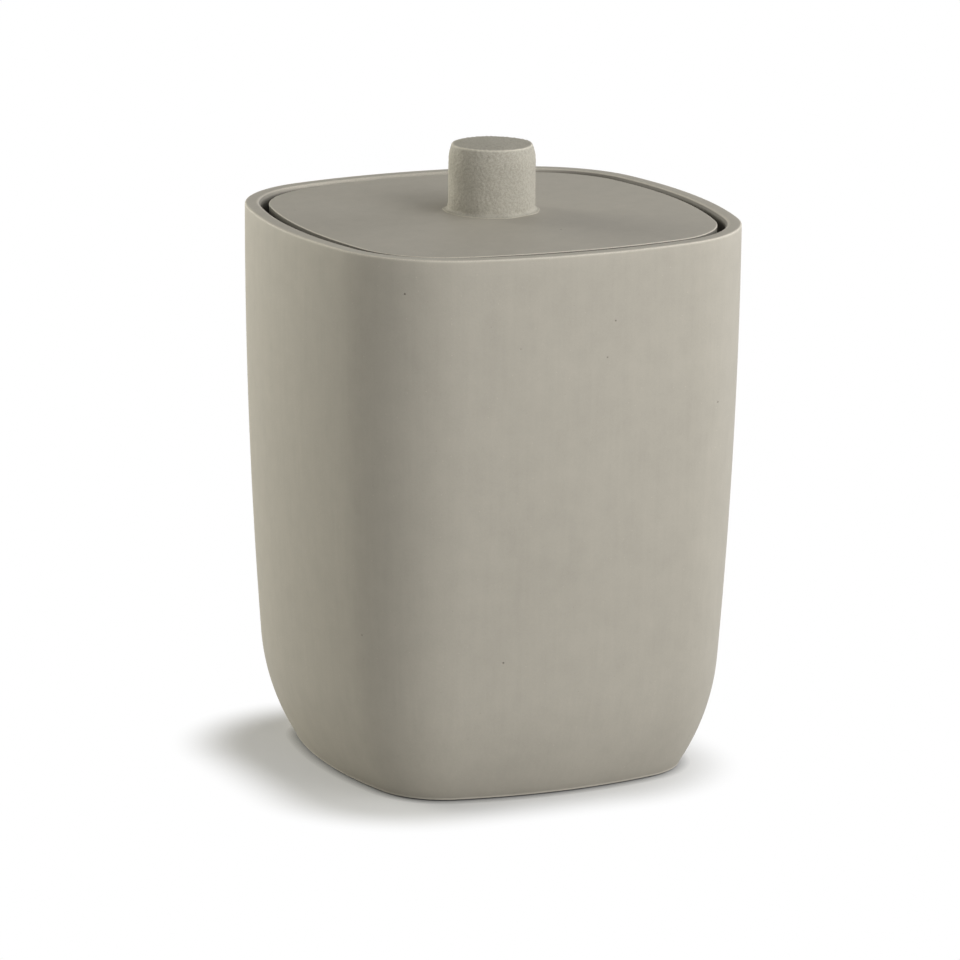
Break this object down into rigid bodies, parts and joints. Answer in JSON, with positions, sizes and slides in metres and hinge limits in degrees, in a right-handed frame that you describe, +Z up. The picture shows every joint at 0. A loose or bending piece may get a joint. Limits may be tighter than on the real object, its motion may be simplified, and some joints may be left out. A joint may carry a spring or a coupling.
{
  "type": "lidded trash can",
  "caption": "Square bin with bowed sides and a drawn-in base, cast in matt stone resin, with an inset lift-off lid on a round knob and a lift-out plastic bucket with a wire bail.",
  "frame": {"origin": "centre of the base, on the surface that the pads stand on", "axes": "+Z up along the bin's upright axis; -Y towards the large face in the picture; the bail lies round the back, towards +Y"},
  "size_m": [0.2, 0.2, 0.2743],
  "materials": {
    "cast_resin": "matte",
    "knob_resin": "matte",
    "bucket_plastic": "satin",
    "bail_wire": "satin",
    "plated_steel": "satin",
    "brass": "satin",
    "foam_pad": "matte"
  },
  "bodies": {
    "bin_body": {"body": "cast_resin", "base_pad_1": "foam_pad", "base_pad_2": "foam_pad", "base_pad_3": "foam_pad", "base_pad_4": "foam_pad"},
    "bucket": {"inner_bucket": "bucket_plastic"},
    "bail": {"bail": "bail_wire"},
    "lid": {"lid": "cast_resin", "knob": "knob_resin", "knob_insert": "brass", "knob_screw": "plated_steel", "knob_washer": "plated_steel"}
  },
  "joints": [
    {"name": "bucket_lift", "type": "slide", "parent": "bin_body", "child": "bucket", "axis": [0, 0, 1], "range_m": [0, 0.24]},
    {"name": "lid_lift", "type": "slide", "parent": "bucket", "child": "lid", "axis": [0, 0, 1], "range_m": [0, 0.16]},
    {"name": "bail_swing", "type": "hinge", "parent": "bucket", "child": "bail", "pos_m": [0, 0, 0.2278], "axis": [1, 0, 0], "range_deg": [0, 90]}
  ],
  "couplings": [
    {"joint": "bail_swing", "follows": "lid_lift", "rad_per_m": 9.817}
  ]
}
